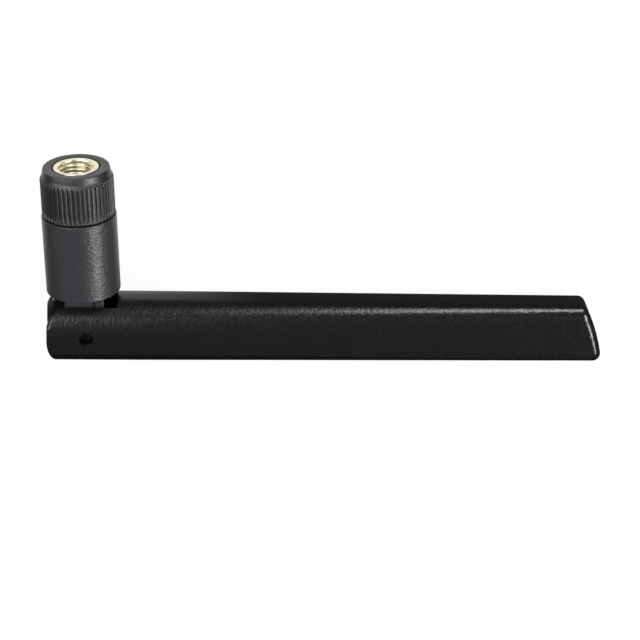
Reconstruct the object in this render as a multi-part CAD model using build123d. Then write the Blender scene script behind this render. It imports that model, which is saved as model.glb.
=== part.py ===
"""Tilt-and-swivel network antenna on a screw-on coaxial plug.

A knurled nut turns on the plug. A moulded sleeve holds the plug and ends in a tongue, and the fork of
the hollow blade tilts on two short pins in that tongue. A thin coaxial cable runs from the plug, round
the hinge, to a sleeve dipole inside the blade.

Millimetres. The plug's axis is Y, +Y points out of the nut's mouth, and the origin is the centre of the
threaded wall's outer end. The antenna lies on its side as it rests, with +Z up and the blade along +X.
"""
from build123d import *
from math import cos, radians, sin, sqrt
import os

# Coupling nut, brass. Its 1/4-36 thread is left as the bore over the thread's crests.
thread_bore_r = 2.8
thread_length = 2.9
mouth_chamfer = 0.4
mouth_r = 3.23
relief_r = 3.3
relief_length = 2.4
lip_length = 2.6
nut_front_r = 4.0
nut_front_length = 1.25
nut_hex_across = 8.0
nut_corner_r = 4.45
nut_rear_r = 3.85
nut_rear_length = 1.0

# Knurled grip, moulded, pushed on the nut over its front end until its shoulder meets the hexagon
grip_r = 6.45
grip_top_r = 5.87
grip_top_round = 0.12
grip_band_r = 6.08
grip_band_height = 1.25
grip_bevel_height = 1.95
grip_height = 8.6
grip_front_gap = 0.25
grip_press_gap = 0.02
rib_count = 48
rib_groove_depth = 0.27
rib_groove_width = 0.4
rib_foot = 0.25

# Connector shell, brass, and what it holds
barrel_r = 2.29
barrel_setback = 0.1
flange_r = 3.15
flange_thickness = 0.6
flange_gap = 0.05
neck_r = 2.45
running_gap = 0.06
collar_across = 6.4
collar_length = 3.4
collar_setback = 0.1
tail_r = 1.6
tail_length = 2.6
bead_front_r = 2.04
bead_front_length = 1.7
bead_rear_r = 1.44
bead_length = 6.0
bead_gap = 0.01
solder_chamber_length = 1.3
contact_r = 0.64
contact_setback = 0.1
contact_rear = 0.8
socket_r = 0.46
socket_depth = 2.2
contact_cup_depth = 0.8

# Retaining ring, split spring wire of flat section
ring_groove_r = 1.96
ring_outer_groove_r = 2.92
ring_radial_gap = 0.07
ring_thickness = 0.6
ring_axial_gap = 0.05
ring_setback = 0.6
ring_split = 1.0

# Sealing gasket in front of the flange
gasket_thickness = 0.8
gasket_gap = 0.06
gasket_outer_r = 3.15

# Swivel sleeve with its tongue, one moulding
seam_gap = 0.3
sleeve_top_r = 6.62
sleeve_bottom_r = 6.58
sleeve_length = 14.4
sleeve_rim_fillet = 0.12
collar_fit = 0.02
chamber_r = 2.5
chamber_depth = 6.9
cable_hole_r = 1.15
hinge_clearance = 0.1
tongue_half_width = 3.45
tongue_half_thickness = 3.2
tongue_edge_fillet = 0.35
channel_half_width = 1.4
channel_web = 1.65
channel_top = 4.4
cheek_groove_x = 1.7
cheek_groove_width = 0.45
cheek_groove_depth = 0.25

# Hinge: the blade is folded this far from straight, of the 90 degrees it has
fold_at_rest = 86.3
fold_range = 90.0
pin_r = 1.22
pin_press_gap = 0.01
pin_running_gap = 0.04
pin_inset = 1.8
pin_inner_end = 1.6
pin_chamfer = 0.2

# Blade housing, one moulding: round at the fork, flat and square at the tip
root_r = 6.2
root_flat = 0.05
blend_start = 10.0
tip_half_height = 5.52
tip_half_thickness = 3.75
tip_corner_r = 2.0
tip_reach = 92.25
tip_slant = 18.2
tip_bulge_r = 34.7
tip_edge_fillet = 1.4
ear_end_over = 0.82
ear_sweep_over = 1.05
ear_sweep_mid_turn = 35.0
ear_heel_r = 1.5
ear_bulge_start = 0.5
ear_bulge_r = 10.0
ear_edge_fillet = 0.55
ear_mouth_round = 1.1
ear_mouth_depth = 2.8
ear_rim_start = 4.5
ear_rim_round = 0.9
slot_side_gap = 0.2
slot_floor_gap = 1.4
slot_end_gap = 2.2
slot_corner_r = 1.0
cavity_corner_r = 1.2
cavity_step = 0.15
cavity_end_wall = 3.8
tip_wall = 1.35

# Coaxial cable: jacket, braid, dielectric and core
jacket_r = 0.9
braid_r = 0.66
dielectric_r = 0.44
core_r = 0.15
layer_gap = 0.01
cable_bend_r = 4.5
jacket_in_ferrule = 2.4
ferrule_wall = 0.33
ferrule_gap = 0.03
ferrule_setback = 0.5
ferrule_over_tail = 2.6
ferrule_crimp_length = 2.8

# Dipole inside the blade, placed along the blade from the hinge
choke_start = 33.0
choke_length = 26.0
choke_r = 2.2
choke_wall = 0.3
choke_cap = 0.4
jacket_stop = 1.2
braid_proud = 0.8
solder_length = 0.7
solder_r = 1.3
dielectric_proud = 2.0
rod_gap = 2.3
rod_r = 0.8
rod_end_gap = 2.2
rod_cup_depth = 1.2
core_in_cup = 0.9
shrink_wall = 0.28
shrink_gap = 0.02
shrink_setback = 1.0
shrink_length = 6.0
spacer_length = 4.0
spacer_gap = 0.05
spacer_from_tube_end = 3.0
spacer_from_rod_end = 2.0

# Sizes of the fork, worked out from the blade's root and the tongue
ear_end = root_r + ear_end_over
ear_sweep_r = root_r + ear_sweep_over
slot_half_width = tongue_half_thickness + slot_side_gap
slot_floor = tongue_half_width + slot_floor_gap
slot_end = tongue_half_width + slot_end_gap

# Places along the blade, measured from the hinge
cavity_end = tip_reach - cavity_end_wall
choke_end = choke_start + choke_length
rod_start = choke_end + rod_gap
rod_end = cavity_end - rod_end_gap
spacer_starts = {
    "tube_spacer_rear": choke_start + spacer_from_tube_end,
    "tube_spacer_front": choke_end - spacer_from_tube_end - spacer_length,
    "rod_spacer": rod_end - spacer_from_rod_end - spacer_length,
}

# Stations along the plug's axis, worked out from the sizes above
mouth_y = mouth_chamfer
thread_end_y = -thread_length
relief_end_y = thread_end_y - relief_length
nut_rear_y = relief_end_y - lip_length
nut_hex_top_y = mouth_y - nut_front_length
nut_hex_end_y = nut_rear_y + nut_rear_length
grip_end_y = mouth_y - grip_height
sleeve_top_y = grip_end_y - seam_gap
sleeve_bottom_y = sleeve_top_y - sleeve_length
pivot_y = sleeve_bottom_y - ear_sweep_r - hinge_clearance
barrel_front_y = thread_end_y - barrel_setback
flange_back_y = relief_end_y + flange_gap
flange_front_y = flange_back_y + flange_thickness
collar_front_y = sleeve_top_y - collar_setback
collar_back_y = collar_front_y - collar_length
tail_end_y = collar_back_y - tail_length
bead_back_y = barrel_front_y - bead_length
chamber_back_y = bead_back_y - solder_chamber_length
ring_front_y = relief_end_y - ring_setback
ring_back_y = ring_front_y - ring_thickness
sleeve_floor_y = collar_back_y - chamber_depth
channel_top_y = pivot_y + channel_top
ferrule_front_y = collar_back_y - ferrule_setback
ferrule_step_y = ferrule_front_y - ferrule_over_tail
ferrule_end_y = ferrule_step_y - ferrule_crimp_length
jacket_start_y = ferrule_end_y + jacket_in_ferrule
lean = 90.0 - fold_at_rest

# The blade is modelled along +X from the hinge, with +Y on the plug's side, and then put in place
blade_place = Location((0, pivot_y, 0), (0, 0, -lean))


def turned(points):
    """Solid turned round the plug's axis from (radius, y) points."""
    return revolve(make_face(Polyline(*points, close=True)), Axis.Y)


def turned_ring(inner_r, outer_r, low_y, high_y):
    """Plain ring round the plug's axis."""
    return turned([(inner_r, low_y), (outer_r, low_y), (outer_r, high_y), (inner_r, high_y)])


def plug_disc(radius, low_y, high_y):
    """Plain cylinder on the plug's axis."""
    return Pos(0, (low_y + high_y) / 2, 0) * Rot(-90, 0, 0) * Cylinder(radius, high_y - low_y)


def plug_hexagon(across, low_y, high_y):
    """Hexagonal bar on the plug's axis."""
    outline = Plane.XZ.offset(-low_y) * RegularPolygon(across / 2, 6, major_radius=False)
    return extrude(outline, high_y - low_y, dir=(0, 1, 0))


def blade_disc(radius, start, end):
    """Plain cylinder on the blade's axis."""
    return Pos((start + end) / 2, 0, 0) * Rot(0, 90, 0) * Cylinder(radius, end - start)


def blade_section(at, half_height, half_thickness, corner):
    """Rounded rectangle across the blade."""
    across = Plane(origin=(at, 0, 0), x_dir=(0, 0, 1), z_dir=(1, 0, 0))
    return across * RectangleRounded(2 * half_thickness, 2 * half_height, corner)


def coupling_nut():
    blank = plug_disc(nut_front_r, nut_hex_top_y, mouth_y)
    hexagon = plug_hexagon(nut_hex_across, nut_hex_end_y, nut_hex_top_y)
    blank += hexagon & plug_disc(nut_corner_r, nut_hex_end_y, nut_hex_top_y)
    blank += plug_disc(nut_rear_r, nut_rear_y, nut_hex_end_y)
    lip_bore_r = neck_r + running_gap
    bore = turned([
        (0, mouth_y), (mouth_r, mouth_y), (thread_bore_r, 0), (thread_bore_r, thread_end_y),
        (relief_r, thread_end_y), (relief_r, relief_end_y), (lip_bore_r, relief_end_y),
        (lip_bore_r, ring_front_y + ring_axial_gap), (ring_outer_groove_r, ring_front_y + ring_axial_gap),
        (ring_outer_groove_r, ring_back_y - ring_axial_gap), (lip_bore_r, ring_back_y - ring_axial_gap),
        (lip_bore_r, nut_rear_y), (0, nut_rear_y)])
    return blank - bore


def knurled_grip():
    blank = turned([
        (0, mouth_y), (grip_top_r, mouth_y), (grip_band_r, mouth_y - grip_band_height),
        (grip_r, mouth_y - grip_bevel_height), (grip_r, grip_end_y), (0, grip_end_y)])
    blank = fillet(blank.edges().filter_by(GeomType.CIRCLE).sort_by(Axis.Y)[-1], grip_top_round)
    pocket_top_y = nut_hex_top_y + ring_axial_gap
    blank -= plug_disc(nut_front_r + grip_front_gap, pocket_top_y, mouth_y)
    hexagon = plug_hexagon(nut_hex_across + 2 * grip_press_gap, grip_end_y, pocket_top_y)
    blank -= hexagon & plug_disc(nut_corner_r + grip_press_gap, grip_end_y, pocket_top_y)
    half = rib_groove_width / 2
    groove = make_face(Polyline((grip_r - rib_groove_depth, 0), (grip_r + half, -2 * half),
                                (grip_r + half, 2 * half), close=True))
    across = Plane.XZ.offset(-(grip_end_y + rib_foot))
    grooves = Sketch() + [across * Rot(0, 0, turn * 360 / rib_count) * groove for turn in range(rib_count)]
    return blank - extrude(grooves, mouth_y - grip_end_y, dir=(0, 1, 0))


def retaining_ring():
    ring = turned_ring(ring_groove_r + ring_radial_gap, ring_outer_groove_r - ring_radial_gap,
                       ring_back_y, ring_front_y)
    split = Box(ring_outer_groove_r, ring_thickness * 2, ring_split, align=(Align.MIN, Align.CENTER, Align.CENTER))
    return ring - Pos(0, (ring_front_y + ring_back_y) / 2, 0) * split


def connector_shell():
    blank = turned([
        (0, barrel_front_y), (barrel_r, barrel_front_y), (barrel_r, flange_front_y), (flange_r, flange_front_y),
        (flange_r, flange_back_y), (neck_r, flange_back_y), (neck_r, ring_front_y + ring_axial_gap),
        (ring_groove_r, ring_front_y + ring_axial_gap), (ring_groove_r, ring_back_y - ring_axial_gap),
        (neck_r, ring_back_y - ring_axial_gap), (neck_r, collar_front_y), (tail_r, collar_front_y),
        (tail_r, tail_end_y), (0, tail_end_y)])
    blank += plug_hexagon(collar_across, collar_back_y, collar_front_y)
    bead_step_y = barrel_front_y - bead_front_length
    braid_bore_r = braid_r + layer_gap
    bore = turned([
        (0, barrel_front_y), (bead_front_r + bead_gap, barrel_front_y), (bead_front_r + bead_gap, bead_step_y),
        (bead_rear_r + bead_gap, bead_step_y), (bead_rear_r + bead_gap, chamber_back_y),
        (braid_bore_r, chamber_back_y), (braid_bore_r, tail_end_y), (0, tail_end_y)])
    return blank - bore


def contact_insulator():
    bead_step_y = barrel_front_y - bead_front_length + bead_gap
    hole_r = contact_r + bead_gap
    return turned([
        (hole_r, barrel_front_y), (bead_front_r, barrel_front_y), (bead_front_r, bead_step_y),
        (bead_rear_r, bead_step_y), (bead_rear_r, bead_back_y), (hole_r, bead_back_y)])


def centre_contact():
    front_y = barrel_front_y - contact_setback
    back_y = bead_back_y - contact_rear
    cup_r = core_r + layer_gap
    body = plug_disc(contact_r, back_y, front_y)
    body -= plug_disc(socket_r, front_y - socket_depth, front_y)
    return body - plug_disc(cup_r, back_y, back_y + contact_cup_depth)


def sealing_gasket():
    return turned_ring(barrel_r + gasket_gap, gasket_outer_r, flange_front_y, flange_front_y + gasket_thickness)


def crimp_ferrule():
    wide_r = tail_r + ferrule_gap
    narrow_r = jacket_r + ferrule_gap
    return turned([
        (wide_r, ferrule_front_y), (wide_r + ferrule_wall, ferrule_front_y), (wide_r + ferrule_wall, ferrule_step_y),
        (narrow_r + ferrule_wall, ferrule_step_y - ferrule_wall), (narrow_r + ferrule_wall, ferrule_end_y),
        (narrow_r, ferrule_end_y), (narrow_r, ferrule_step_y), (wide_r, ferrule_step_y + ferrule_wall)])


def swivel_sleeve():
    body = turned([(0, sleeve_top_y), (sleeve_top_r, sleeve_top_y), (sleeve_bottom_r, sleeve_bottom_y),
                   (0, sleeve_bottom_y)])
    body = fillet(body.edges().filter_by(GeomType.CIRCLE), sleeve_rim_fillet)
    tongue_top_y = sleeve_bottom_y + sleeve_rim_fillet
    tongue = Pos(0, (tongue_top_y + pivot_y) / 2, 0) * Box(
        2 * tongue_half_width, tongue_top_y - pivot_y, 2 * tongue_half_thickness)
    tongue += Pos(0, pivot_y, 0) * Cylinder(tongue_half_width, 2 * tongue_half_thickness)
    body += fillet(tongue.edges().filter_by(Axis.Y), tongue_edge_fillet)
    body -= plug_hexagon(collar_across + 2 * collar_fit, collar_back_y - collar_fit, sleeve_top_y)
    body -= plug_disc(chamber_r, sleeve_floor_y, collar_back_y)
    body -= plug_disc(cable_hole_r, channel_top_y, sleeve_floor_y)
    channel_left = channel_web - tongue_half_width
    channel_bottom_y = pivot_y - 2 * tongue_half_width
    body -= Pos(channel_left, channel_bottom_y, 0) * Box(
        3 * tongue_half_width, channel_top_y - channel_bottom_y, 2 * channel_half_width,
        align=(Align.MIN, Align.MIN, Align.CENTER))
    body -= Pos(0, pivot_y, 0) * Cylinder(pin_r + pin_press_gap, 4 * tongue_half_thickness)
    groove = Box(cheek_groove_width, sleeve_bottom_y - pivot_y - pin_r, 2 * cheek_groove_depth,
                 align=(Align.CENTER, Align.MAX, Align.CENTER))
    for side in (-1, 1):
        body -= Pos(cheek_groove_x, sleeve_bottom_y, side * tongue_half_thickness) * groove
    return body


def hinge_pin(side):
    """Short pin in one ear, set back from the blade's face."""
    outer_end = root_r - pin_inset
    length = outer_end - pin_inner_end
    pin = Cylinder(pin_r, length, align=(Align.CENTER, Align.CENTER, Align.MIN))
    pin = chamfer(pin.edges().sort_by(Axis.Z)[-1], pin_chamfer)
    return Pos(0, pivot_y, 0) * Rot(0 if side > 0 else 180, 0, 0) * Pos(0, 0, pin_inner_end) * pin


def blade_side_outline():
    """Outline of the blade seen on its broad side, wider than the blade where its skin decides."""
    reach = root_r + root_flat
    sweep_y = sqrt(ear_sweep_r ** 2 - ear_end ** 2)
    shoulder_x = -sqrt(ear_sweep_r ** 2 - reach ** 2)
    sweep_turn = radians(ear_sweep_mid_turn)
    sweep_mid = ear_sweep_r * Vector(-cos(sweep_turn), sin(sweep_turn))
    bulge_x = tip_reach - tip_bulge_r * cos(radians(tip_slant))
    bulge_y = -tip_bulge_r * sin(radians(tip_slant))

    def bulge_at(y):
        return (bulge_x + sqrt(tip_bulge_r ** 2 - (y - bulge_y) ** 2), y)

    def end_at(y):
        return (-ear_end + ear_bulge_r - sqrt(ear_bulge_r ** 2 - (y + ear_bulge_start) ** 2), y)

    ear = ThreePointArc((-ear_end, sweep_y), sweep_mid, (shoulder_x, reach))
    tip = ThreePointArc(bulge_at(reach), bulge_at(0), bulge_at(-reach))
    heel = ThreePointArc(end_at(-reach), end_at(-(reach + ear_bulge_start) / 2), end_at(-ear_bulge_start))
    lines = ear + Line((shoulder_x, reach), bulge_at(reach)) + tip
    lines += Line(bulge_at(-reach), end_at(-reach)) + heel
    lines += Line(end_at(-ear_bulge_start), (-ear_end, sweep_y))
    face = make_face(lines)
    corner = face.vertices().sort_by_distance((*end_at(-reach), 0))[0]
    return fillet(corner, ear_heel_r)


def blade_skin():
    """Outer form of the blade before its ends are cut: a cylinder that flattens towards the tip."""
    beyond = tip_reach + 2 * tip_edge_fillet
    share = (beyond - blend_start) / (tip_reach - blend_start)

    def at_end(root, tip):
        return root + (tip - root) * share

    root = blade_section(blend_start, root_r, root_r, root_r - root_flat)
    end = blade_section(beyond, at_end(root_r, tip_half_height), at_end(root_r, tip_half_thickness),
                        at_end(root_r - root_flat, tip_corner_r))
    round_part = extrude(root, -(blend_start + 2 * ear_end), dir=(1, 0, 0))
    return round_part + loft([root, end])


def blade_cavity(gap=0.0):
    """Hollow of the blade, or what fills it with a gap all round."""
    inset = cavity_step + gap
    root = blade_section(slot_end - slot_corner_r, slot_floor - inset, slot_half_width - inset, cavity_corner_r)
    end = blade_section(cavity_end, tip_half_height - tip_wall - gap, tip_half_thickness - tip_wall - gap,
                        cavity_corner_r)
    return loft([root, end])


def rim_face(rim_y, size):
    """What a convex round rim leaves out above the slot's near wall, across the blade."""
    low_z = slot_half_width - cavity_step
    high_z = slot_half_width + size
    outer_y = rim_y + size
    bulge = size * sin(radians(45))
    curve = ThreePointArc((0, rim_y, slot_half_width), (0, outer_y - size + bulge, high_z - bulge),
                          (0, outer_y, high_z))
    beyond = Polyline((0, outer_y, high_z), (0, 2 * ear_sweep_r, high_z), (0, 2 * ear_sweep_r, low_z),
                      (0, rim_y, low_z), (0, rim_y, slot_half_width))
    return make_face(curve + beyond)


def ear_mouth():
    """What the rounded inner rims of the ears leave out: round the end, down it, and along the open side."""
    end_rim = rim_face(ear_sweep_r - ear_mouth_round, ear_mouth_round)
    upper = revolve(end_rim, Axis.Z, 90)
    upper += extrude(Rot(0, 0, 90) * end_rim, ear_mouth_depth, dir=(0, -1, 0))
    upper += Pos(-ear_sweep_r, 0, 0) * extrude(rim_face(ear_rim_start, ear_rim_round), ear_sweep_r + slot_end,
                                               dir=(1, 0, 0))
    return upper + mirror(upper, Plane.XY)


def blade_housing():
    outline = extrude(blade_side_outline(), 2 * root_r, both=True)
    body = blade_skin() & outline
    tip_edges = body.edges().filter_by(lambda edge: edge.center().X > tip_reach - tip_half_height)
    tip_edges = tip_edges.filter_by(lambda edge: abs(edge.tangent_at(0.5).X) < 0.7)
    body = fillet(tip_edges, tip_edge_fillet)
    body = fillet(body.edges().filter_by(lambda edge: edge.center().X < -root_r / 2), ear_edge_fillet)
    slot = Pos(slot_end, -slot_floor, 0) * Box(
        4 * root_r, 4 * root_r, 2 * slot_half_width, align=(Align.MAX, Align.MIN, Align.CENTER))
    slot = fillet(slot.edges().filter_by(Axis.Y).group_by(Axis.X)[-1], slot_corner_r)
    body -= slot
    body -= ear_mouth()
    body -= blade_cavity()
    body -= Cylinder(pin_r + pin_running_gap, 4 * root_r)
    return blade_place * body


def cable_layer(inner_r, outer_r, start_y, end_x):
    """One layer of the cable, from the plug's axis round the hinge and up the blade."""
    start = Vector(0, start_y, 0)
    end = (blade_place * Pos(end_x, 0, 0)).position
    route = FilletPolyline(start, Vector(0, pivot_y, 0), end, radius=cable_bend_r)
    across = Plane(origin=start, x_dir=(1, 0, 0), z_dir=(0, -1, 0))
    layer = sweep(across * Circle(outer_r), path=route)
    if inner_r:
        layer -= sweep(across * Circle(inner_r), path=route)
    return layer


def choke_tube():
    tube = blade_disc(choke_r, choke_start, choke_end)
    tube -= blade_disc(choke_r - choke_wall, choke_start, choke_end - choke_cap)
    tube -= blade_disc(braid_r + layer_gap, choke_start, choke_end)
    return blade_place * tube


def braid_solder():
    end = choke_end + solder_length
    cone = Pos((choke_end + end) / 2, 0, 0) * Rot(0, 90, 0) * Cone(solder_r, braid_r + shrink_wall, solder_length)
    return blade_place * (cone - blade_disc(braid_r + layer_gap, choke_end, end))


def radiator_rod():
    rod = blade_disc(rod_r, rod_start, rod_end)
    return blade_place * (rod - blade_disc(core_r + layer_gap, rod_start, rod_start + rod_cup_depth))


def feed_shrink():
    start = choke_end + shrink_setback
    inner_r = rod_r + shrink_gap
    tube = blade_disc(inner_r + shrink_wall, start, start + shrink_length)
    return blade_place * (tube - blade_disc(inner_r, start, start + shrink_length))


def spacer(start, hole_r):
    """Foam block that fills the hollow round the tube or the rod."""
    slab = Pos(start + spacer_length / 2, 0, 0) * Box(spacer_length, 4 * root_r, 4 * root_r)
    block = blade_cavity(spacer_gap) & slab
    return blade_place * (block - blade_disc(hole_r + shrink_gap, start, start + spacer_length))


parts = {
    "coupling_nut": coupling_nut(),
    "knurled_grip": knurled_grip(),
    "retaining_ring": retaining_ring(),
    "connector_shell": connector_shell(),
    "contact_insulator": contact_insulator(),
    "centre_contact": centre_contact(),
    "sealing_gasket": sealing_gasket(),
    "crimp_ferrule": crimp_ferrule(),
    "swivel_sleeve": swivel_sleeve(),
    "hinge_pin_front": hinge_pin(1),
    "hinge_pin_rear": hinge_pin(-1),
    "cable_jacket": cable_layer(braid_r + layer_gap, jacket_r, jacket_start_y, choke_end - jacket_stop),
    "cable_braid": cable_layer(dielectric_r + layer_gap, braid_r, chamber_back_y, choke_end + braid_proud),
    "cable_dielectric": cable_layer(core_r + layer_gap, dielectric_r, chamber_back_y + dielectric_r,
                                    choke_end + dielectric_proud),
    "cable_core": cable_layer(0, core_r, bead_back_y - contact_rear + contact_cup_depth / 2,
                              rod_start + core_in_cup),
    "blade_housing": blade_housing(),
    "choke_tube": choke_tube(),
    "braid_solder": braid_solder(),
    "radiator_rod": radiator_rod(),
    "feed_shrink": feed_shrink(),
}
for name, start in spacer_starts.items():
    parts[name] = spacer(start, choke_r if start < choke_end else rod_r)

os.makedirs("parts", exist_ok=True)
for name, shape in parts.items():
    export_step(shape, f"parts/{name}.step")
print("tilt range", -fold_at_rest, round(fold_range - fold_at_rest, 3))
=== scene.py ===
"""Looks of the tilt-and-swivel network antenna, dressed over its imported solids.

Metres, in the solids' own frame: the plug's axis is Y with +Y out of the nut's mouth, the folded blade
runs along +X, and the antenna lies on its side with +Z up.
"""
import math

import bpy
from mathutils import Matrix, Vector


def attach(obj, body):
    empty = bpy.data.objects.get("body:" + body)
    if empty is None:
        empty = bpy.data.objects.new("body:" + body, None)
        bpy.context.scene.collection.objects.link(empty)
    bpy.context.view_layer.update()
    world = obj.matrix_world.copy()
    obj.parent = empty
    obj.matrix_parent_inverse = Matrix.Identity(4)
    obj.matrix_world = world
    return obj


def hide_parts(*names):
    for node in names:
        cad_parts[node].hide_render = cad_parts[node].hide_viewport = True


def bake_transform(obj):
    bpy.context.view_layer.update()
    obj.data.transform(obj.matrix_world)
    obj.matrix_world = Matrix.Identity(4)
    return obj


MM = 0.001

# Sizes in millimetres, as the solids have them
MOUTH_Y = 0.4
MOUTH_R = 3.23
THREAD_CREST_R = 2.8
THREAD_END_Y = -2.9
RELIEF_R = 3.3
RELIEF_END_Y = -5.3
NUT_FRONT_R = 4.0
NUT_HEX_TOP_Y = -0.85
NUT_HEX_ACROSS = 8.0
NUT_CORNER_R = 4.45
NUT_HEX_END_Y = -6.9
NUT_REAR_R = 3.85
NUT_REAR_Y = -7.9
LIP_BORE_R = 2.51
RING_GROOVE_R = 2.92
RING_FRONT_Y = -5.85
RING_BACK_Y = -6.55
GRIP_TOP_R = 5.87
GRIP_TOP_ROUND = 0.12
GRIP_BAND_R = 6.08
GRIP_BAND_Y = -0.85
GRIP_R = 6.45
GRIP_BEVEL_Y = -1.55
GRIP_FOOT_Y = -7.95
GRIP_END_Y = -8.2
GRIP_FRONT_BORE_R = 4.25
GRIP_POCKET_TOP_Y = -0.8
RIB_COUNT = 48
RIB_GROOVE_DEPTH = 0.27
PIVOT_Y = -30.25
FLOOR_Z = -6.62

# The blade's lean from square at rest, in degrees
LEAN = 3.7

# Thread ridge, which the solids leave out: 36 turns to the inch, the radius of its root, where it starts, how
# often it goes round, the part of its run in which it fades in or out, and its section as shares of the pitch
# and of its own height
THREAD_PITCH = 25.4 / 36
THREAD_ROOT_R = 3.18
THREAD_TOP_Y = -0.1
THREAD_TURNS = 3.8
RIDGE_FADE = 0.12
RIDGE_FOOT_SHARE = 0.94
RIDGE_CREST_SHARE = 0.16
RIDGE_INSET_SHARE = -0.42

# Share of each rib's pitch that its groove takes
RIB_GROOVE_SHARE = 0.62

# Cable, in millimetres from the hinge: where its line starts to bend. Then the braid's bundles, lay and length
CABLE_BEND_REACH = 9.0
BRAID_BUNDLES = 8
BRAID_LAY = 6.0
BRAID_LENGTH = 80.0

# Patches in the finishes, in millimetres: cloudy tone in plastic, and film on metal
CLOUD_SIZE = 6.0
FILM_SIZE = 1.5

# White sheet: half its side in metres, its level to the eye, and the painted pool of light that mirrored rays
# see: how far they find it white, in millimetres from the nut's mouth and along the ray. Then the room's level
# to all but the eye.
SHEET_HALF = 3.0
SHEET_LEVEL = 0.95
PAINTED_POOL_EDGE, PAINTED_POOL_END, PAINTED_POOL_REST = 12.0, 42.0, 0.06
RAY_NEAR, RAY_FAR, RAY_REST = 12.0, 20.0, 0.1
ROOM_LEVEL = 0.12

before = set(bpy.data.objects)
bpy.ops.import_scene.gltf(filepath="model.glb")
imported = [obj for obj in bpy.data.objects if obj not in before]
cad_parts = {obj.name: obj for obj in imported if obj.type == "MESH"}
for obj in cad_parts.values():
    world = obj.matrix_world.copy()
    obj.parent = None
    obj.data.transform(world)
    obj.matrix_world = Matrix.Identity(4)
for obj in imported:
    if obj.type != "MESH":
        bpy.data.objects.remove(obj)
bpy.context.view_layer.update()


def linear(hex_colour):
    """Linear RGBA of an sRGB hex colour."""
    channels = [int(hex_colour[i:i + 2], 16) / 255 for i in (1, 3, 5)]
    return [c / 12.92 if c <= 0.04045 else ((c + 0.055) / 1.055) ** 2.4 for c in channels] + [1.0]


def add_node(tree, kind, inputs=None, **settings):
    """A node with its settings; an input that is given a socket is linked to it."""
    made = tree.nodes.new(kind)
    for name, value in settings.items():
        setattr(made, name, value)
    for name, value in (inputs or {}).items():
        if isinstance(value, bpy.types.NodeSocket):
            tree.links.new(value, made.inputs[name])
        else:
            made.inputs[name].default_value = value
    return made


def math_node(tree, operation, *values):
    """The result of a sum on numbers or sockets."""
    return add_node(tree, "ShaderNodeMath", dict(enumerate(values)), operation=operation).outputs["Value"]


def start_material(name):
    """An empty node material and its Object coordinates."""
    material = bpy.data.materials.new(name)
    material.use_nodes = True
    tree = material.node_tree
    tree.nodes.clear()
    return material, tree, add_node(tree, "ShaderNodeTexCoord").outputs["Object"]


def end_material(tree, shader):
    """Links the finished shader to the material's surface."""
    add_node(tree, "ShaderNodeOutputMaterial", {"Surface": shader})


def moulded_plastic(name, colour, shade, roughness, grain, grain_height, ior):
    """Black plastic moulded in a spark-eroded tool: an even grain that glitters where light grazes it."""
    material, tree, where = start_material(name)
    fine = add_node(tree, "ShaderNodeTexNoise", {
        "Vector": where, "Scale": 1 / (grain * MM), "Detail": 2.0, "Roughness": 0.6})
    cloudy = add_node(tree, "ShaderNodeTexNoise", {
        "Vector": where, "Scale": 1 / (CLOUD_SIZE * MM), "Detail": 3.0})
    tone = add_node(tree, "ShaderNodeMix", {
        "Factor": cloudy.outputs["Fac"], "A": linear(colour), "B": linear(shade)}, data_type="RGBA")
    matt = add_node(tree, "ShaderNodeMapRange", {
        "Value": fine.outputs["Fac"], "From Min": 0.3, "From Max": 0.7,
        "To Min": roughness - 0.06, "To Max": roughness + 0.06})
    bump = add_node(tree, "ShaderNodeBump", {
        "Height": fine.outputs["Fac"], "Distance": grain_height * MM, "Strength": 1.0})
    shader = add_node(tree, "ShaderNodeBsdfPrincipled", {
        "Base Color": tone.outputs["Result"], "Roughness": matt.outputs["Result"],
        "Normal": bump.outputs["Normal"], "IOR": ior})
    end_material(tree, shader.outputs["BSDF"])
    return material


def turned_metal(name, colour, worn, roughness, pitch, axis="Y"):
    """Turned, drawn or flowed metal: faint rings across the axis, and a slightly duller film in patches."""
    material, tree, where = start_material(name)
    marks = add_node(tree, "ShaderNodeTexWave", {
        "Vector": where, "Scale": math.tau / 20 / (pitch * MM), "Distortion": 1.5, "Detail": 1.0},
        wave_type="BANDS", bands_direction=axis)
    film = add_node(tree, "ShaderNodeTexNoise", {
        "Vector": where, "Scale": 1 / (FILM_SIZE * MM), "Detail": 3.0})
    tone = add_node(tree, "ShaderNodeMix", {
        "Factor": film.outputs["Fac"], "A": linear(colour), "B": linear(worn)}, data_type="RGBA")
    dull = add_node(tree, "ShaderNodeMapRange", {
        "Value": film.outputs["Fac"], "To Min": roughness - 0.05, "To Max": roughness + 0.1})
    bump = add_node(tree, "ShaderNodeBump", {
        "Height": marks.outputs["Fac"], "Distance": 0.003 * MM, "Strength": 0.5})
    shader = add_node(tree, "ShaderNodeBsdfPrincipled", {
        "Base Color": tone.outputs["Result"], "Metallic": 1.0, "Roughness": dull.outputs["Result"],
        "Normal": bump.outputs["Normal"]})
    end_material(tree, shader.outputs["BSDF"])
    return material


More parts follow.
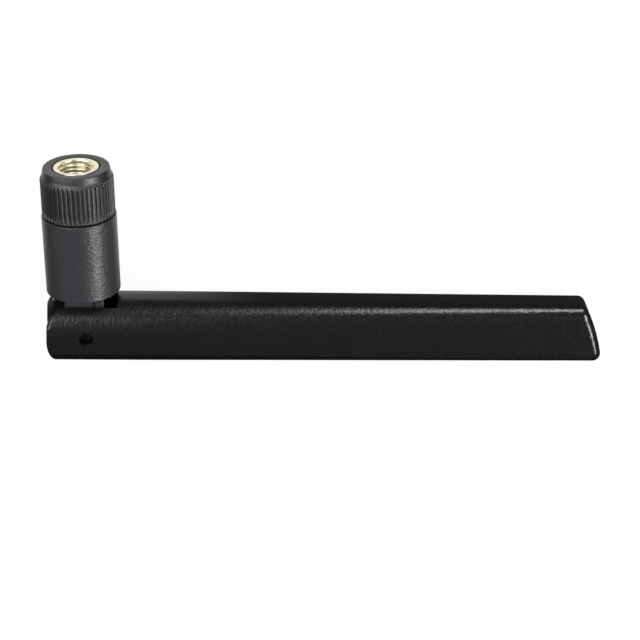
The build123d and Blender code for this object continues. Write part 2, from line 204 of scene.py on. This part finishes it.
def soft_material(name, colour, shade, roughness, grain, ior=1.5, translucent=0.0):
    """Plain moulded or foamed stuff: a soft speckle in colour and height."""
    material, tree, where = start_material(name)
    cells = add_node(tree, "ShaderNodeTexNoise", {
        "Vector": where, "Scale": 1 / (grain * MM), "Detail": 2.0})
    tone = add_node(tree, "ShaderNodeMix", {
        "Factor": cells.outputs["Fac"], "A": linear(colour), "B": linear(shade)}, data_type="RGBA")
    bump = add_node(tree, "ShaderNodeBump", {
        "Height": cells.outputs["Fac"], "Distance": 0.05 * grain * MM, "Strength": 1.0})
    shader = add_node(tree, "ShaderNodeBsdfPrincipled", {
        "Base Color": tone.outputs["Result"], "Roughness": roughness, "IOR": ior,
        "Subsurface Weight": translucent, "Subsurface Radius": (MM, MM, MM), "Subsurface Scale": 0.3,
        "Normal": bump.outputs["Normal"]})
    end_material(tree, shader.outputs["BSDF"])
    return material


def woven_braid(name, colour, gap_painted_shade):
    """Tinned copper braid: two sets of wire bundles wound round the cable, one each way.

    The map's first axis is the cable's length and its second goes once round, as on the braid's tube."""
    material, tree = start_material(name)[:2]
    along = add_node(tree, "ShaderNodeUVMap", uv_map="UVMap").outputs["UV"]
    sets = []
    for way in (1, -1):
        wound = add_node(tree, "ShaderNodeMapping", {
            "Vector": along, "Scale": (way * BRAID_BUNDLES * BRAID_LENGTH / BRAID_LAY, BRAID_BUNDLES, 1)})
        bundles = add_node(tree, "ShaderNodeTexWave", {
            "Vector": wound.outputs["Vector"], "Scale": math.tau / 10},
            wave_type="BANDS", bands_direction="DIAGONAL")
        sets.append(bundles.outputs["Fac"])
    over = math_node(tree, "MAXIMUM", *sets)
    # painted shade: the gaps between the bundles take a dark colour
    tone = add_node(tree, "ShaderNodeMix", {
        "Factor": over, "A": linear(gap_painted_shade), "B": linear(colour)}, data_type="RGBA")
    bump = add_node(tree, "ShaderNodeBump", {"Height": over, "Distance": 0.05 * MM, "Strength": 1.0})
    shader = add_node(tree, "ShaderNodeBsdfPrincipled", {
        "Base Color": tone.outputs["Result"], "Metallic": 1.0, "Roughness": 0.35,
        "Normal": bump.outputs["Normal"]})
    end_material(tree, shader.outputs["BSDF"])
    return material


# Black ABS from a spark-eroded tool: deep black, with one thin bright line where lamp light grazes the round
# edge. The real grain is about 0.1 mm across; on these three it is drawn 0.5 mm across, so that it shows.
blade_black = moulded_plastic("abs_black_fine_grain", "#151517", "#0f0f11", 0.22, 0.5, 0.04, 1.5)
# The same ABS from a coarser tool: a soft grey band down the sleeve that breaks up into sparkle.
sleeve_black = moulded_plastic("abs_black_coarse_grain", "#2f2f33", "#29292d", 0.38, 0.5, 0.1, 1.58)
# Black nylon, satin: the ribs each catch a dull grey line, and the flat rim goes mid grey in the light.
grip_black = moulded_plastic("nylon_black_ribbed", "#151518", "#101013", 0.45, 0.5, 0.06, 1.66)
# Brass with a thin bright gilt, turned: pale straw yellow that goes white where it mirrors the sheet. Real
# tool marks are about 0.1 mm apart; on all the turned pieces they are drawn wider, so that they show.
nut_gilt = turned_metal("brass_gilt_turned", "#faf6e6", "#e9e0bd", 0.29, 0.75)
# The same finish, deeper in the bore, with painted reflection and shade: its colour is made warmer and darker
# to stand in for the nut mirrored in it and for the bore's shade.
shell_gilt_painted_reflection = turned_metal("brass_gilt_shell_painted_reflection", "#e2cf98", "#cdb877", 0.22, 0.6)
# Hard gold plate on a machined contact: rich yellow, the smoothest metal here.
contact_gilt = turned_metal("gold_plated_contact", "#e6bf62", "#d8ac4c", 0.18, 0.5)
# Phosphor bronze wire, coiled bare: dull red brown.
ring_bronze = turned_metal("phosphor_bronze_wire", "#b98350", "#a06f41", 0.3, 0.6)
# Nickel plate over a crimped brass tube: warm grey, half bright.
ferrule_nickel = turned_metal("nickel_plated_ferrule", "#bdb8ad", "#a8a296", 0.28, 0.9)
# Brass tube and rod, drawn bare: mid yellow, with faint draw rings.
tube_brass = turned_metal("brass_drawn_tube", "#c9a45a", "#b08c47", 0.3, 1.25, "X")
# Tinned copper wire, drawn: pale grey with copper showing through.
core_copper = turned_metal("tinned_copper_wire", "#c9c2b8", "#b9a48f", 0.3, 1.25, "X")
# Tin solder, flowed and cooled: bright grey, in slow ripples.
solder_tin = turned_metal("tin_solder", "#b9bcc0", "#9da1a6", 0.3, 3.8, "X")
# PTFE, turned: waxy white that lets some light in.
bead_white = soft_material("ptfe_turned_white", "#eeece4", "#e2dfd6", 0.35, 0.4, 1.35, 0.3)
# Silicone rubber, moulded: brick red, satin.
gasket_red = soft_material("silicone_rubber_red", "#9c3a2c", "#86301f", 0.5, 0.25, 1.41)
# FEP cable jacket, extruded: smooth black, softly glossy.
jacket_black = soft_material("fep_jacket_black", "#17171a", "#101012", 0.3, 0.5, 1.35)
# Polyolefin tube, heat shrunk: black, slightly orange-peeled.
shrink_black = soft_material("polyolefin_shrunk_black", "#1c1c1e", "#121214", 0.45, 0.35)
# Closed-cell foam, cut: charcoal and quite matt, open cells on the cut faces.
foam_grey = soft_material("pe_foam_charcoal", "#3a3a3e", "#242427", 0.85, 0.35)
# Black nylon, moulded: flatter than the housing round it, and coloured blacker as painted shade for the recess
# of the pin hole.
pin_black_painted_shade = soft_material("nylon_black_pin_painted_shade", "#0a0a0b", "#060607", 0.5, 0.3)
# Tinned copper braid, woven, 8 bundles each way at a 6 mm lay: pale bundles, with painted shade in the gaps
# between them.
braid_tinned = woven_braid("tinned_braid_woven", "#c4bcae", "#5b4a39")


# Turned pieces

def turned_mesh(name, outline, around, flats=()):
    """Closed mesh turned round the plug's axis from (radius, y) points; flats numbers those on a hexagon."""
    vertices, faces = [], []
    for turn in range(around):
        angle = 2 * math.pi * turn / around
        to_flat = (angle % (math.pi / 3)) - math.pi / 6
        for number, (radius, y) in enumerate(outline):
            if number in flats:
                radius = min(radius, NUT_HEX_ACROSS / 2 / math.cos(to_flat))
            vertices.append((radius * math.cos(angle) * MM, y * MM, radius * math.sin(angle) * MM))
    count = len(outline)
    for turn in range(around):
        here, beyond = turn * count, ((turn + 1) % around) * count
        for number in range(count):
            after = (number + 1) % count
            faces.append((here + number, here + after, beyond + after, beyond + number))
    mesh = bpy.data.meshes.new(name)
    mesh.from_pydata(vertices, [], faces)
    mesh.validate()
    piece = bpy.data.objects.new(name, mesh)
    bpy.context.scene.collection.objects.link(piece)
    for polygon in mesh.polygons:
        polygon.use_smooth = True
    return piece


def add_inputs(tree, sizes):
    """Named number inputs of a geometry tree, and a group input to read them from."""
    tree.interface.new_socket("Geometry", in_out="INPUT", socket_type="NodeSocketGeometry")
    for name, value in sizes.items():
        socket = tree.interface.new_socket(name, in_out="INPUT", socket_type="NodeSocketFloat")
        socket.default_value = value
    tree.interface.new_socket("Geometry", in_out="OUTPUT", socket_type="NodeSocketGeometry")
    return tree.nodes.new("NodeGroupInput").outputs


def end_tree(tree, geometry, material):
    """Realizes the geometry and gives it its material."""
    realized = add_node(tree, "GeometryNodeRealizeInstances", {"Geometry": geometry})
    dressed = add_node(tree, "GeometryNodeSetMaterial", {
        "Geometry": realized.outputs["Geometry"], "Material": material})
    end = tree.nodes.new("NodeGroupOutput")
    tree.links.new(dressed.outputs["Geometry"], end.inputs["Geometry"])


def baked(piece, tree, sizes):
    """The piece with the geometry tree applied, as a plain mesh."""
    modifier = piece.modifiers.new(tree.name, "NODES")
    modifier.node_group = tree
    for item in tree.interface.items_tree:
        if item.item_type == "SOCKET" and item.in_out == "INPUT" and item.name in sizes:
            modifier[item.identifier] = sizes[item.name]
    bpy.context.view_layer.update()
    graph = bpy.context.evaluated_depsgraph_get()
    mesh = bpy.data.meshes.new_from_object(piece.evaluated_get(graph), depsgraph=graph)
    piece.modifiers.clear()
    piece.data = mesh
    mesh.name = piece.name
    return piece


def thread_tree(material):
    """Adds a right-handed helical ridge that fades out at both ends, standing in from the bore's wall."""
    tree = bpy.data.node_groups.new("Internal_thread", "GeometryNodeTree")
    sizes = {"Root radius": THREAD_ROOT_R * MM, "Ridge height": (THREAD_ROOT_R - THREAD_CREST_R) * MM,
             "Pitch": THREAD_PITCH * MM, "Turns": THREAD_TURNS, "Top": THREAD_TOP_Y * MM}
    given = add_inputs(tree, sizes)
    height = math_node(tree, "MULTIPLY", given["Pitch"], given["Turns"])
    line = add_node(tree, "GeometryNodeCurveSpiral", {
        "Resolution": 96, "Rotations": given["Turns"], "Start Radius": given["Root radius"],
        "End Radius": given["Root radius"], "Height": height, "Reverse": True})
    factor = add_node(tree, "GeometryNodeSplineParameter").outputs["Factor"]
    to_end = math_node(tree, "MINIMUM", factor, math_node(tree, "SUBTRACT", 1.0, factor))
    faded = add_node(tree, "ShaderNodeMapRange", {
        "Value": to_end, "From Min": 0.0, "From Max": RIDGE_FADE, "To Min": 0.02, "To Max": 1.0})
    sized = add_node(tree, "GeometryNodeSetCurveRadius", {
        "Curve": line.outputs["Curve"], "Radius": faded.outputs["Result"]})
    up = add_node(tree, "GeometryNodeSetCurveNormal", {"Curve": sized.outputs["Curve"]}, mode="Z_UP")
    ridge = add_node(tree, "GeometryNodeCurvePrimitiveQuadrilateral", {
        "Bottom Width": math_node(tree, "MULTIPLY", given["Pitch"], RIDGE_FOOT_SHARE),
        "Top Width": math_node(tree, "MULTIPLY", given["Pitch"], RIDGE_CREST_SHARE),
        "Height": given["Ridge height"], "Offset": 0.0}, mode="TRAPEZOID")
    inward = add_node(tree, "GeometryNodeTransform", {
        "Geometry": ridge.outputs["Curve"], "Rotation": (0, 0, math.radians(90)),
        "Translation": add_node(tree, "ShaderNodeCombineXYZ", {
            "X": math_node(tree, "MULTIPLY", given["Ridge height"], RIDGE_INSET_SHARE)}).outputs["Vector"]})
    solid = add_node(tree, "GeometryNodeCurveToMesh", {
        "Curve": up.outputs["Curve"], "Profile Curve": inward.outputs["Geometry"], "Fill Caps": True})
    place = add_node(tree, "ShaderNodeCombineXYZ", {"Y": given["Top"]})
    placed = add_node(tree, "GeometryNodeTransform", {
        "Geometry": solid.outputs["Mesh"], "Translation": place.outputs["Vector"],
        "Rotation": (math.radians(90), 0, 0)})
    joined = tree.nodes.new("GeometryNodeJoinGeometry")
    tree.links.new(given["Geometry"], joined.inputs["Geometry"])
    tree.links.new(placed.outputs["Geometry"], joined.inputs["Geometry"])
    end_tree(tree, joined.outputs["Geometry"], material)
    return tree, sizes


def knurl_tree(material):
    """Presses rounded grooves along the plug into the outer wall, running out on the bevel."""
    tree = bpy.data.node_groups.new("Straight_knurl", "GeometryNodeTree")
    sizes = {"Rib count": RIB_COUNT, "Outer radius": GRIP_R * MM, "Groove depth": RIB_GROOVE_DEPTH * MM,
             "Groove share": RIB_GROOVE_SHARE, "Foot": GRIP_FOOT_Y * MM}
    given = add_inputs(tree, sizes)
    place = add_node(tree, "GeometryNodeInputPosition").outputs["Position"]
    x, y, z = add_node(tree, "ShaderNodeSeparateXYZ", {"Vector": place}).outputs
    turns = math_node(tree, "DIVIDE", math_node(tree, "ARCTAN2", z, x), 2 * math.pi)
    # a whole number is added to the ribs' count, so that the fraction is taken of a positive number
    ribs = math_node(tree, "ADD", math_node(tree, "MULTIPLY", turns, given["Rib count"]), 500.0)
    rib = math_node(tree, "FRACT", ribs)
    off = math_node(tree, "ABSOLUTE", math_node(tree, "SUBTRACT", rib, 0.5))
    edge = math_node(tree, "SUBTRACT", 0.5, math_node(tree, "MULTIPLY", given["Groove share"], 0.5))
    dip = add_node(tree, "ShaderNodeMapRange", {"Value": off, "From Min": edge, "From Max": 0.5},
                   interpolation_type="SMOOTHSTEP").outputs["Result"]
    above = math_node(tree, "GREATER_THAN", y, given["Foot"])
    depth = math_node(tree, "MULTIPLY", math_node(tree, "MULTIPLY", dip, given["Groove depth"]), above)
    limit = math_node(tree, "SUBTRACT", given["Outer radius"], depth)
    flat = add_node(tree, "ShaderNodeCombineXYZ", {"X": x, "Z": z}).outputs["Vector"]
    radius = add_node(tree, "ShaderNodeVectorMath", {0: flat}, operation="LENGTH").outputs["Value"]
    share = math_node(tree, "DIVIDE", math_node(tree, "MINIMUM", radius, limit), radius)
    scale = add_node(tree, "ShaderNodeCombineXYZ", {"X": share, "Y": 1.0, "Z": share}).outputs["Vector"]
    moved = add_node(tree, "ShaderNodeVectorMath", {0: place, 1: scale}, operation="MULTIPLY")
    pressed = add_node(tree, "GeometryNodeSetPosition", {
        "Geometry": given["Geometry"], "Position": moved.outputs["Vector"]})
    end_tree(tree, pressed.outputs["Geometry"], material)
    return tree, sizes


def arc_points(centre, radius, start, stop, steps):
    """Points of an arc in the (radius, y) plane, in degrees from the outward direction."""
    return [(centre[0] + radius * math.cos(math.radians(start + (stop - start) * i / steps)),
             centre[1] + radius * math.sin(math.radians(start + (stop - start) * i / steps)))
            for i in range(steps + 1)]


def threaded_nut():
    """Brass nut: rounded front face, hexagon inside the grip, threaded bore, and the groove of its ring."""
    edge = 0.12
    outline = [(THREAD_ROOT_R, MOUTH_Y - 0.22)]
    outline += [(MOUTH_R, MOUTH_Y - 0.06), (MOUTH_R + 0.05, MOUTH_Y - 0.01), (MOUTH_R + 0.12, MOUTH_Y)]
    outline += arc_points((NUT_FRONT_R - edge, MOUTH_Y - edge), edge, 90, 0, 5)
    outline += [(NUT_FRONT_R, NUT_HEX_TOP_Y)]
    hexagon = [(NUT_FRONT_R + 0.08, NUT_HEX_TOP_Y), (NUT_CORNER_R, NUT_HEX_TOP_Y - 0.25),
               (NUT_CORNER_R, NUT_HEX_END_Y + 0.25), (NUT_FRONT_R + 0.08, NUT_HEX_END_Y)]
    flats = range(len(outline), len(outline) + len(hexagon))
    outline += hexagon
    outline += [(NUT_REAR_R, NUT_HEX_END_Y), (NUT_REAR_R, NUT_REAR_Y + 0.1), (NUT_REAR_R - 0.1, NUT_REAR_Y),
                (LIP_BORE_R + 0.1, NUT_REAR_Y), (LIP_BORE_R, NUT_REAR_Y + 0.1), (LIP_BORE_R, RING_BACK_Y),
                (RING_GROOVE_R, RING_BACK_Y), (RING_GROOVE_R, RING_FRONT_Y), (LIP_BORE_R, RING_FRONT_Y),
                (LIP_BORE_R, RELIEF_END_Y), (RELIEF_R, RELIEF_END_Y), (RELIEF_R, THREAD_END_Y),
                (THREAD_ROOT_R, THREAD_END_Y)]
    outline.reverse()
    nut = turned_mesh("threaded_nut", outline, 144, [len(outline) - 1 - n for n in flats])
    tree, sizes = thread_tree(nut_gilt)
    return baked(nut, tree, sizes)


def ribbed_grip():
    """Moulded grip: crowned bevel, straight ribs, plain foot, and the flat face round the nut."""
    outline = [(GRIP_FRONT_BORE_R, GRIP_POCKET_TOP_Y), (GRIP_FRONT_BORE_R, MOUTH_Y - 0.05),
               (GRIP_FRONT_BORE_R + 0.05, MOUTH_Y)]
    outline += arc_points((GRIP_TOP_R - GRIP_TOP_ROUND, MOUTH_Y - GRIP_TOP_ROUND), GRIP_TOP_ROUND, 90, 8, 5)
    outline += [(GRIP_TOP_R + (GRIP_BAND_R - GRIP_TOP_R) * share, MOUTH_Y + (GRIP_BAND_Y - MOUTH_Y) * share)
                for share in (0.3, 0.6, 0.9)]
    outline += [(GRIP_BAND_R + 0.02, GRIP_BAND_Y - 0.03)]
    outline += [(GRIP_BAND_R + (GRIP_R - GRIP_BAND_R) * share,
                 GRIP_BAND_Y + (GRIP_BEVEL_Y - GRIP_BAND_Y) * share)
                for share in (0.15, 0.3, 0.45, 0.6, 0.75, 0.9)]
    outline += [(GRIP_R, GRIP_BEVEL_Y - 0.05)]
    outline += [(GRIP_R, y) for y in (-2.5, -4.0, -5.5, -7.0)]
    outline += [(GRIP_R, GRIP_FOOT_Y + 0.06), (GRIP_R, GRIP_FOOT_Y - 0.02)]
    outline += arc_points((GRIP_R - 0.1, GRIP_END_Y + 0.1), 0.1, 0, -90, 3)
    outline += [(NUT_CORNER_R + 0.02, GRIP_END_Y), (NUT_CORNER_R + 0.02, GRIP_POCKET_TOP_Y)]
    outline.reverse()
    grip = turned_mesh("ribbed_grip", outline, RIB_COUNT * 12)
    tree, sizes = knurl_tree(grip_black)
    return baked(grip, tree, sizes)


nut = threaded_nut()
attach(nut, "coupling")
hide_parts("coupling_nut")
grip = ribbed_grip()
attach(grip, "coupling")
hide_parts("knurled_grip")


# Coaxial cable: four layers, laid down the plug and turned up the blade at the hinge

def on_blade(along):
    """Point on the blade's axis, so far from the hinge."""
    lean = math.radians(LEAN)
    return (along * math.cos(lean), PIVOT_Y - along * math.sin(lean), 0.0)


def cable_layer(name, node, outer, inner, start_y, end_x, material):
    """A tube round the cable's line, which runs down the plug's axis and turns up the blade at the hinge."""
    route = [(0, start_y, 0), (0, PIVOT_Y + CABLE_BEND_REACH, 0), (0, PIVOT_Y, 0),
             on_blade(CABLE_BEND_REACH), on_blade(end_x)]
    line = bpy.data.curves.new(name, "CURVE")
    line.dimensions = "3D"
    spline = line.splines.new("NURBS")
    spline.points.add(len(route) - 1)
    for point, place in zip(spline.points, route):
        point.co = [c * MM for c in place] + [1.0]
    spline.order_u = 3
    spline.use_endpoint_u = True
    spline.resolution_u = 24
    line.bevel_depth = outer * MM
    line.bevel_resolution = 6
    line.use_fill_caps = inner == 0
    maker = bpy.data.objects.new(name + "_line", line)
    bpy.context.scene.collection.objects.link(maker)
    graph = bpy.context.evaluated_depsgraph_get()
    mesh = bpy.data.meshes.new_from_object(maker.evaluated_get(graph), depsgraph=graph)
    bpy.data.objects.remove(maker)
    layer = bpy.data.objects.new(name, mesh)
    bpy.context.scene.collection.objects.link(layer)
    mesh.materials.clear()
    mesh.materials.append(material)
    for polygon in mesh.polygons:
        polygon.use_smooth = True
    if inner:
        wall = layer.modifiers.new("Wall", "SOLIDIFY")
        wall.thickness = (outer - inner) * MM
        wall.offset = -1.0
        wall.use_even_offset = True
    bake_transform(layer)
    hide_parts(node)


cable_layer("jacket_tube", "cable_jacket", 0.9, 0.67, -16.9, 57.8, jacket_black)
cable_layer("braid_tube", "cable_braid", 0.66, 0.45, -10.3, 59.8, braid_tinned)
cable_layer("dielectric_tube", "cable_dielectric", 0.44, 0.16, -9.9, 61.0, bead_white)
cable_layer("core_wire", "cable_core", 0.15, 0.0, -9.4, 62.2, core_copper)

# Solids that keep their own mesh
node_materials = {
    "swivel_sleeve": sleeve_black, "blade_housing": blade_black, "connector_shell": shell_gilt_painted_reflection,
    "contact_insulator": bead_white, "centre_contact": contact_gilt, "sealing_gasket": gasket_red,
    "crimp_ferrule": ferrule_nickel, "retaining_ring": ring_bronze, "hinge_pin_front": pin_black_painted_shade,
    "hinge_pin_rear": pin_black_painted_shade, "choke_tube": tube_brass, "braid_solder": solder_tin,
    "radiator_rod": tube_brass, "feed_shrink": shrink_black, "rod_spacer": foam_grey,
    "tube_spacer_rear": foam_grey, "tube_spacer_front": foam_grey,
}
for name, material in node_materials.items():
    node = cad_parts[name]
    node.data.materials.clear()
    node.data.materials.append(material)


# Studio: white sheet under the antenna, one soft lamp, three narrow ones, and a dim room

def floor_material():
    """Sheet, white to the eye and in close mirrorings round the nut's mouth, a painted pool of light, near
    black in far ones as painted shade, and matt paint to the rest.
    """
    material, tree, where = start_material("studio_white_sheet")
    path = add_node(tree, "ShaderNodeLightPath").outputs
    mirrored = math_node(tree, "MAXIMUM", path["Is Glossy Ray"], path["Is Transmission Ray"])
    seen = math_node(tree, "MULTIPLY", math_node(tree, "MAXIMUM", path["Is Camera Ray"], mirrored), SHEET_LEVEL)
    paint = add_node(tree, "ShaderNodeBsdfDiffuse", {"Color": linear("#f2f2f2")})
    glow = add_node(tree, "ShaderNodeEmission", {"Color": (1, 1, 1, 1), "Strength": 1.0})
    sheet = add_node(tree, "ShaderNodeMixShader", {
        "Fac": seen, 1: paint.outputs["BSDF"], 2: glow.outputs["Emission"]})
    # a real sheet is as white further off; mirrored rays fade there only to keep the blade's side and the
    # sleeve's flank as dark as the photograph has them
    # painted pool of light: mirrored rays find the sheet white only within a set reach of the nut's mouth and
    # along short rays, and near black beyond it, which is painted shade
    off = add_node(tree, "ShaderNodeVectorMath", {0: where, 1: (0, 0, FLOOR_Z * MM)}, operation="DISTANCE")
    painted_pool = add_node(tree, "ShaderNodeMapRange", {
        "Value": off.outputs["Value"], "From Min": PAINTED_POOL_EDGE * MM, "From Max": PAINTED_POOL_END * MM,
        "To Min": 1.0, "To Max": PAINTED_POOL_REST}, interpolation_type="SMOOTHSTEP").outputs["Result"]
    short = add_node(tree, "ShaderNodeMapRange", {
        "Value": path["Ray Length"], "From Min": RAY_NEAR * MM, "From Max": RAY_FAR * MM,
        "To Min": 1.0, "To Max": RAY_REST}, interpolation_type="SMOOTHSTEP").outputs["Result"]
    near = math_node(tree, "MULTIPLY", painted_pool, short)
    lit = math_node(tree, "MAXIMUM", near, math_node(tree, "SUBTRACT", 1.0, mirrored))
    mixed = add_node(tree, "ShaderNodeMixShader", {"Fac": lit, 2: sheet.outputs["Shader"]})
    end_material(tree, mixed.outputs["Shader"])
    return material


def area_lamp(name, place, width, length, power, along=(0, 1, 0), aim=(0.02, -0.02, 0.0)):
    """Rectangular lamp at a place, turned to its aim, with its length laid along a direction."""
    data = bpy.data.lights.new(name, "AREA")
    data.shape = "RECTANGLE"
    data.size = width
    data.size_y = length
    data.energy = power
    lamp = bpy.data.objects.new(name, data)
    bpy.context.scene.collection.objects.link(lamp)
    toward = (Vector(place) - Vector(aim)).normalized()
    long_side = (Vector(along) - toward * toward.dot(Vector(along))).normalized()
    lamp.matrix_world = Matrix.Translation(place) @ Matrix(
        (long_side.cross(toward), long_side, toward)).transposed().to_4x4()
    return lamp


floor_mesh = bpy.data.meshes.new("studio_floor")
floor_mesh.from_pydata([(x * SHEET_HALF, y * SHEET_HALF, FLOOR_Z * MM)
                        for x, y in ((-1, -1), (1, -1), (1, 1), (-1, 1))], [], [(0, 1, 2, 3)])
floor_mesh.materials.append(floor_material())
floor = bpy.data.objects.new("studio_floor", floor_mesh)
bpy.context.scene.collection.objects.link(floor)

area_lamp("soft_lamp", (-0.22, 0.25, 0.37), 0.4, 0.4, 2.0)
area_lamp("edge_lamp", (0.25, 0.51, 0.18), 0.16, 0.22, 1.15, along=(0, 0, 1))
area_lamp("band_lamp", (0.57, -0.08, 0.54), 0.15, 0.55, 5.8)
area_lamp("rim_lamp", (-0.38, 0.06, 0.2), 0.08, 0.3, 0.5, along=(0, 0, 1))

# White to the eye, and dim to mirrored rays as well as to all other light, for the same reason
world = bpy.data.worlds.new("studio_room")
bpy.context.scene.world = world
world.use_nodes = True
surround = world.node_tree
surround.nodes.clear()
path = add_node(surround, "ShaderNodeLightPath").outputs
level = add_node(surround, "ShaderNodeMapRange", {
    "Value": path["Is Camera Ray"], "To Min": ROOM_LEVEL, "To Max": 1.0}).outputs["Result"]
dim = add_node(surround, "ShaderNodeBackground", {"Color": (1, 1, 1, 1), "Strength": level})
add_node(surround, "ShaderNodeOutputWorld", {"Surface": dim.outputs["Background"]})

# Camera at the photograph's viewing angle
camera_data = bpy.data.cameras.new("photo_camera")
camera_data.lens = 146.25
camera_data.sensor_width = 36.0
camera_data.clip_start = 0.01
camera_data.clip_end = 20.0
camera = bpy.data.objects.new("photo_camera", camera_data)
bpy.context.scene.collection.objects.link(camera)
right = Vector((0.99676, -0.01935, 0.07812)).normalized()
back = Vector((-0.06188, 0.43636, 0.89764)).normalized()
up = back.cross(right).normalized()
right = up.cross(back)
camera.matrix_world = Matrix.Translation(Vector((12.97, 172.94, 420.94)) * MM) @ Matrix((
    (right.x, up.x, back.x, 0), (right.y, up.y, back.y, 0), (right.z, up.z, back.z, 0), (0, 0, 0, 1)))
bpy.context.scene.camera = camera
bpy.context.scene.view_settings.view_transform = "Standard"
